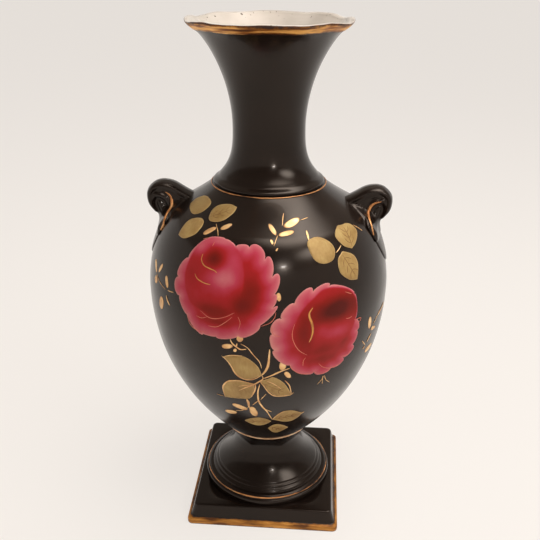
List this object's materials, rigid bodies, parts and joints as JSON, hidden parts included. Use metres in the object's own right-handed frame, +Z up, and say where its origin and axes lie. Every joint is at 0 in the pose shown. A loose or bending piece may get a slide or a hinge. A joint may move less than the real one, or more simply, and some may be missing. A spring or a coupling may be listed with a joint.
{
  "type": "flower vase",
  "caption": "Two-handled footed flower vase on a square plinth: egg-shaped hollow body, trumpet neck with an uneven flared rim, scroll handles and gilded lines.",
  "frame": {"origin": "centre of the plinth's underside", "axes": "+Z up along the vase's axis, the handles along X, the painted front towards -Y"},
  "size_m": [0.141, 0.1406, 0.3],
  "materials": {
    "black_glaze": "glossy near-black glaze over earthenware",
    "gilding": "worn satin gold"
  },
  "bodies": {
    "root": {"plinth": "black_glaze", "foot": "black_glaze", "body": "black_glaze", "neck": "black_glaze", "handle_left": "black_glaze", "handle_right": "black_glaze", "plinth_gilding": "gilding", "foot_gilding": "gilding", "waist_gilding": "gilding", "shoulder_gilding": "gilding", "rim_gilding": "gilding", "handle_gilding_left": "gilding", "handle_gilding_right": "gilding"}
  },
  "joints": []
}
